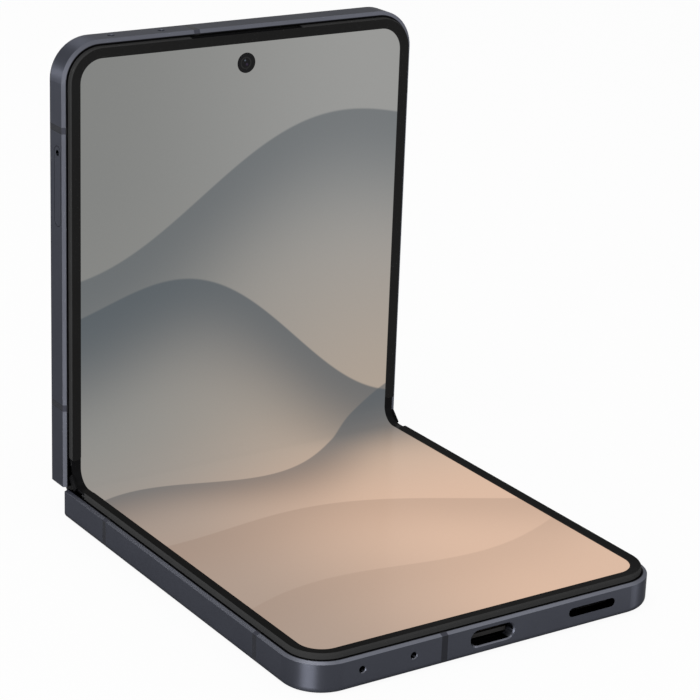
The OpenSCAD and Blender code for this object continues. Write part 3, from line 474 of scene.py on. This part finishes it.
# The picture's ridges, in millimetres: height over the fold, slope, wave height, half wave length and
# phase, and how deep and how strong the shade below the ridge is
RIDGES = (
    {"height": 52, "slope": 0.22, "wave": 7, "length": 46, "phase": 0.6, "fade": 36, "strength": 0.62},
    {"height": 24, "slope": -0.30, "wave": 8, "length": 40, "phase": 2.2, "fade": 32, "strength": 0.78},
    {"height": -6, "slope": 0.24, "wave": 6, "length": 34, "phase": 4.4, "fade": 24, "strength": 0.66},
    {"height": -33, "slope": -0.20, "wave": 5, "length": 44, "phase": 1.4, "fade": 26, "strength": 0.30},
    {"height": -56, "slope": 0.14, "wave": 4, "length": 38, "phase": 3.3, "fade": 24, "strength": 0.20},
)
RIDGE_EDGE_MM = 0.5
SHADE_POWER = 1.6

SCREEN_LIGHT = 0.97


def screen_picture(shader, across, along):
    """A generic picture: soft rolling ridges, grey at the top and sand-coloured at the bottom."""

    def blend(left, left_colour, right, right_colour):
        """Turns from one colour to another between two places across the phone."""
        return shader.mix(shader.step(across, left, right), left_colour, right_colour)

    def ridge_shade(height, slope, wave, length, phase, fade, strength):
        """The share of shade below a ridge, strongest at its edge."""
        swing = shader.math("SINE", shader.math("MULTIPLY_ADD", across, math.pi / length, phase))
        sloped = shader.math("MULTIPLY_ADD", across, slope, height)
        below = shader.subtract(shader.add(sloped, shader.times(swing, wave)), along)
        edge = shader.step(below, 0.0, RIDGE_EDGE_MM)
        shade = shader.math("POWER", shader.step(below, 0.0, fade, 1.0, 0.0), SHADE_POWER)
        return shader.times(shader.times(edge, shade), strength)

    top = blend(-34, colour(131, 132, 130), 30, colour(154, 154, 152))
    middle = blend(-34, colour(148, 147, 143), 32, colour(180, 164, 148))
    bottom = blend(-36, colour(176, 156, 142), 16, colour(221, 187, 163))
    picture = shader.mix(shader.step(along, -12, 58), middle, top)
    picture = shader.mix(shader.step(along, 10, -40), picture, bottom)
    slate = shader.mix(shader.step(along, 0, -30), colour(84, 92, 98), colour(150, 124, 108))
    for ridge in RIDGES:
        picture = shader.mix(ridge_shade(**ridge), picture, slate)
    return picture


def screen():
    """The display: black glass with a lit picture inside a rounded border."""
    shader = Shader("screen", Roughness=0.2, Specular_IOR_Level=0.02)
    uv = shader.node("ShaderNodeUVMap")
    uv.uv_map = "screen"
    side_mm = UV_SIDE / MM
    u, v, _ = shader.axes(uv.outputs[0])
    across = shader.math("MULTIPLY_ADD", u, side_mm, -side_mm / 2)
    along = shader.math("MULTIPLY_ADD", v, side_mm, -side_mm / 2)
    # Distance from the middles of the border's corner circles, and from the lines between them
    middle_mm = (PICTURE_START + PICTURE_END) / 2 / MM
    half_mm = (PICTURE_END - PICTURE_START) / 2 / MM
    radius_mm = PICTURE_R / MM
    beyond_x = shader.subtract(shader.absolute(across), (PICTURE_HALF_W - PICTURE_R) / MM)
    beyond_y = shader.subtract(shader.absolute(shader.subtract(along, middle_mm)), half_mm - radius_mm)
    square_x = shader.math("POWER", shader.larger(beyond_x, 0.0), 2.0)
    square_y = shader.math("POWER", shader.larger(beyond_y, 0.0), 2.0)
    reach = shader.math("SQRT", shader.add(square_x, square_y))
    blur_mm = PICTURE_BLUR / MM
    lit = shader.step(reach, radius_mm - blur_mm, radius_mm + blur_mm, 1.0, 0.0)
    grain = shader.step(shader.noise(0.4 * MM, 1.0), 0.2, 0.8, 0.985, 1.0)
    picture = shader.mix(lit, UNLIT, screen_picture(shader, across, along))
    shader.set("Base Color", BLACK)
    shader.set("Emission Color", shader.mix(grain, UNLIT, picture))
    shader.set("Emission Strength", SCREEN_LIGHT)
    return shader.material


def lenses(name, node, places):
    """Lens glass for a node whose lenses are at the given places along its box, from 0 to 1."""
    low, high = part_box(node)
    radius = (high.z - low.z) / 2
    reach = high.x - low.x - 2 * radius
    middle_z = (low.z + high.z) / 2
    centres = [Vector((low.x + radius + share * reach, high.y, middle_z)) for share in places]
    return lens_glass(name, centres, radius)


slot_materials = {
    "body_metal": anodised("body_metal", "Y", colour(97, 99, 108), streak=0.3),
    "antenna_plastic": antenna_plastic("antenna_plastic", "Y"),
    "back_glass": finish_of(
        "back_glass", colour(60, 62, 70), (0.34, 0.36), vary=0.02, grain=0.06 * MM, depth=0.001 * MM),
    "screen": screen(),
    "bezel_plastic": bezel_plastic("bezel_plastic", "Z"),
    "steel": brushed("steel", colour(176, 178, 182)),
    "spring_steel": brushed("spring_steel", colour(150, 138, 112)),
    "cell": battery_foil(),
    "circuit_board": circuit_board(),
    "black_plastic": finish_of("black_plastic", colour(16, 16, 17), (0.35, 0.5)),
    "copper": brushed("copper", colour(196, 132, 92)),
    "flex_film": finish_of("flex_film", colour(168, 112, 44), (0.2, 0.3), Coat_Weight=0.3),
    "lens_glass": lenses("lens_glass", "rear_camera_windows", (0, 1)),
    "lamp_lens": lamp_lens(),
    "mesh_metal": woven_mesh(),
}

plain_metal = finish_of(
    "plain_metal", METAL, (0.3, 0.4), vary=0.04, depth=0.0005 * MM, Metallic=1.0, Specular_Tint=EDGE_TINT)
ear_material = finish_of("ear_rubber", colour(8, 8, 9), (0.5, 0.6), Specular_IOR_Level=0.04)

# Nodes that differ from the rest of their slot
node_materials = {
    "cover_display": finish_of(
        "black_glass", colour(14, 14, 16), (0.05, 0.09), grain=1.5 * MM, depth=0.001 * MM),
    # The lower frame's bevel is paler than the upper one's, as painted highlight
    "lower_frame": anodised(
        "body_metal_lower", "Z", colour(106, 108, 117), streak=0.75, turn=0.25, bevel_from=0.45),
    "lower_antenna_bands": antenna_plastic("antenna_plastic_lower", "Z"),
    "spine_cover": plain_metal,
    "rear_camera_rings": plain_metal,
    "spine_end_caps": ear_material,
    "upper_bezel": bezel_plastic("bezel_plastic_upper", "Y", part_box("earpiece_mesh")),
    "selfie_window": lenses("selfie_glass", "selfie_window", (0,)),
    # The receptacle's steel is darkened as painted shade inside the port
    "usb_receptacle": brushed("shaded_port_steel", colour(36, 36, 38)),
    "usb_tongue": port_tongue(),
}


# ---- The nodes that keep their shape ----


def dress(piece, material):
    piece.data.materials.clear()
    piece.data.materials.append(material)


for part in frame["record"]["subparts"]:
    slot_material = slot_materials[part["material_slot"]]
    dress(nodes[part["node"]], node_materials.get(part["node"], slot_material))


def map_screen(piece, place):
    """Adds the screen's UV map. place turns a point into places across and along the screen."""
    layer = piece.data.uv_layers.new(name="screen")
    for loop in piece.data.loops:
        across, along = place(piece.data.vertices[loop.vertex_index].co)
        layer.data[loop.index].uv = (UV_MIDDLE + across / UV_SIDE, UV_MIDDLE + along / UV_SIDE)


map_screen(nodes["lower_display"], lambda p: (p.x, p.y - fold_low.y - FOLD_ARC / 2))
map_screen(nodes["upper_display"], lambda p: (p.x, p.z - fold_high.z + FOLD_ARC / 2))


# ---- The display's fold and the flexible cable ----


def new_object(name, data):
    """An object in the scene."""
    made = bpy.data.objects.new(name, data)
    bpy.context.scene.collection.objects.link(made)
    return made


def finished(mesh, name):
    """An object made from a bmesh, with its normals outwards."""
    bmesh.ops.recalc_face_normals(mesh, faces=mesh.faces)
    data = bpy.data.meshes.new(name)
    mesh.to_mesh(data)
    mesh.free()
    return new_object(name, data)


def strip(name, sections):
    """A closed strip as wide as the fold, from sections that are an inner and an outer point each."""
    mesh = bmesh.new()
    across = [fold_high.x * (2 * i / FOLD_COLUMNS - 1) for i in range(FOLD_COLUMNS + 1)]
    rows = []
    for section in sections:
        rows.append([[mesh.verts.new((x, p.y, p.z)) for x in across] for p in section])
    for (inner, outer), (next_inner, next_outer) in zip(rows, rows[1:]):
        for i in range(FOLD_COLUMNS):
            mesh.faces.new((inner[i], inner[i + 1], next_inner[i + 1], next_inner[i]))
            mesh.faces.new((outer[i + 1], outer[i], next_outer[i], next_outer[i + 1]))
        mesh.faces.new((inner[0], next_inner[0], next_outer[0], outer[0]))
        mesh.faces.new((next_inner[-1], inner[-1], outer[-1], next_outer[-1]))
    for inner, outer in (rows[0], rows[-1]):
        for i in range(FOLD_COLUMNS):
            mesh.faces.new((inner[i], outer[i], outer[i + 1], inner[i + 1]))
    return finished(mesh, name)


def on_fold(radius, angle):
    """A point of the fold, from the lower display at angle 0 to the upper one at a right angle."""
    return FOLD_CENTRE + Vector((0, math.sin(angle), -math.cos(angle))) * radius


def fold_place(point):
    """Places across and along the screen of a point of the fold."""
    offset = point - FOLD_CENTRE
    return point.x, FOLD_INNER_R * (math.atan2(offset.y, -offset.z) - math.pi / 4)


def fold_piece(name, start, end):
    """The display's fold from one angle to another."""
    angles = [start + (end - start) * i / FOLD_STEPS for i in range(FOLD_STEPS + 1)]
    sections = [(on_fold(FOLD_INNER_R, angle), on_fold(FOLD_OUTER_R, angle)) for angle in angles]
    piece = strip(name, sections)
    dress(piece, slot_materials["screen"])
    map_screen(piece, fold_place)
    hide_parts("display_fold")
    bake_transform(piece)


fold_piece("display_fold_lower", 0, math.pi / 4)
fold_piece("display_fold_upper", math.pi / 4, math.pi / 2)


def flex_piece(name, half):
    """Half of the flexible cable, cut from its node at the spine's middle plane and closed there."""
    mesh = bmesh.new()
    mesh.from_mesh(nodes["hinge_flex"].data)
    cut = bmesh.ops.bisect_plane(
        mesh, geom=[*mesh.verts, *mesh.edges, *mesh.faces], plane_co=FOLD_CENTRE, plane_no=ALONG,
        clear_outer=half == "lower", clear_inner=half == "upper")["geom_cut"]
    edges = [item for item in cut if isinstance(item, bmesh.types.BMEdge)]
    bmesh.ops.contextual_create(mesh, geom=edges)
    piece = finished(mesh, name)
    dress(piece, slot_materials["flex_film"])
    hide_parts("hinge_flex")
    if half == "lower":
        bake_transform(piece)
    else:
        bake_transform(piece)


flex_piece("hinge_flex_lower", "lower")
flex_piece("hinge_flex_upper", "upper")


# ---- Plates beside the fold ----


def spine_ear(name, side):
    """A bent plate on the spine's end cap. It hides the edge of the display in the fold."""
    section = (
        (EAR_FOOT_X, EAR_LOW), (EAR_OUTER_X, EAR_LOW), (EAR_OUTER_X, EAR_HIGH),
        (EAR_INNER_X, EAR_HIGH), (EAR_INNER_X, EAR_LOW + EAR_FOOT_T), (EAR_FOOT_X, EAR_LOW + EAR_FOOT_T),
    )
    fold_top = FOLD_CENTRE - UP * FOLD_INNER_R
    mesh = bmesh.new()
    rows = []
    for end in (-EAR_HALF_L, EAR_HALF_L):
        middle = fold_top + ALONG * end
        places = [middle + UP * height + Vector((side * x, 0, 0)) for x, height in section]
        rows.append([mesh.verts.new(place) for place in places])
    for row in rows:
        mesh.faces.new(row)
    for i, start in enumerate(rows[0]):
        following = (i + 1) % len(section)
        mesh.faces.new((start, rows[0][following], rows[1][following], rows[1][i]))
    piece = finished(mesh, name)
    bevel = piece.modifiers.new("soft_edges", "BEVEL")
    bevel.width = EAR_BEVEL
    bevel.segments = EAR_BEVEL_STEPS
    dress(piece, ear_material)
    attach(piece, "spine")


spine_ear("spine_ear_left", -1)
spine_ear("spine_ear_right", 1)


# ---- Stage, light and camera ----

FLOOR_HALF = 9.0
FLOOR_GAP = 0.02 * MM


def floor_paint(base, white_share):
    """A pale matt paint. white_share of what the camera sees of it is pure white."""
    material = bpy.data.materials.new("floor_paint")
    paint = NodeTree(material)
    matt = paint.node("ShaderNodeBsdfDiffuse", Color=base)
    white = paint.node("ShaderNodeEmission")
    seen = paint.node("ShaderNodeLightPath").outputs["Is Camera Ray"]
    blend = paint.node("ShaderNodeMixShader")
    sources = (paint.times(seen, white_share), matt.outputs[0], white.outputs[0])
    for source, socket in zip(sources, blend.inputs):
        paint.link(source, socket)
    paint.link(blend.outputs[0], paint.node("ShaderNodeOutputMaterial").inputs["Surface"])
    return material


def floor(white_share):
    """A wide floor just under the phone."""
    data = bpy.data.meshes.new("floor")
    signs = [(-1, -1), (1, -1), (1, 1), (-1, 1)]
    corners = [(x * FLOOR_HALF, y * FLOOR_HALF, -FLOOR_GAP) for x, y in signs]
    data.from_pydata(corners, [], [(0, 1, 2, 3)])
    piece = new_object("floor", data)
    dress(piece, floor_paint(colour(238, 238, 238), white_share))


def white_world(light):
    """White to the camera and in reflections, and a soft grey light on everything else."""
    world = bpy.data.worlds.new("studio")
    bpy.context.scene.world = world
    sky = NodeTree(world)
    rays = sky.node("ShaderNodeLightPath").outputs
    seen = rays["Is Camera Ray"]
    for kind in ("Is Glossy Ray", "Is Transmission Ray"):
        seen = sky.larger(seen, rays[kind])
    strength = sky.node("ShaderNodeMapRange", To_Min=light, To_Max=1.0)
    sky.link(seen, strength.inputs["Value"])
    background = sky.node("ShaderNodeBackground")
    sky.link(strength.outputs[0], background.inputs["Strength"])
    sky.link(background.outputs[0], sky.node("ShaderNodeOutputWorld").inputs["Surface"])


def softbox(name, place, aim, size, power):
    """A rectangular lamp at a place, turned to another. Its power is in watts."""
    data = bpy.data.lights.new(name, "AREA")
    data.shape = "RECTANGLE"
    data.size, data.size_y = size
    data.energy = power
    lamp = new_object(name, data)
    lamp.location = place
    lamp.rotation_euler = (Vector(aim) - Vector(place)).to_track_quat("-Z", "Y").to_euler()


floor(white_share=0.94)
white_world(light=0.5)
softbox("key_light", place=(-0.3, -0.15, 0.85), aim=(0, 0.02, 0.03), size=(0.5, 0.5), power=3.2)
softbox("high_light", place=(0.55, -0.1, 0.8), aim=(0, 0, 0.01), size=(0.5, 0.5), power=0.6)
softbox("back_light", place=(0.12, 0.78, 0.62), aim=(0, 0, 0.01), size=(0.4, 0.3), power=1.0)
softbox("left_light", place=(-0.55, 0.8, 0.08), aim=(-0.036, 0, 0.03), size=(0.3, 0.1), power=1.0)
softbox("right_light", place=(0.76, -0.64, 0.1), aim=(0.02, -0.04, 0.003), size=(0.12, 0.12), power=2.8)
softbox("corner_light", place=(-0.81, -0.5, 0.055), aim=(-0.036, -0.04, 0.003), size=(0.55, 0.1), power=9.0)

# The camera of the photograph, found from the outlines of both halves: its place, and its turns about X,
# Y and Z in degrees
CAMERA_PLACE = Vector((-0.2209416, -0.3237564, 0.1788521))
CAMERA_TURN = (70.3758, -2.0272, -33.271)
CAMERA_NEAR = 10 * MM
LENS_MM = 125.892
SENSOR_MM = 36.0

camera_data = bpy.data.cameras.new("camera")
camera_data.lens = LENS_MM
camera_data.sensor_width = SENSOR_MM
camera_data.clip_start = CAMERA_NEAR
camera = new_object("camera", camera_data)
camera.location = CAMERA_PLACE
camera.rotation_euler = Euler([math.radians(angle) for angle in CAMERA_TURN])
bpy.context.scene.camera = camera
bpy.context.scene.view_settings.view_transform = "Standard"
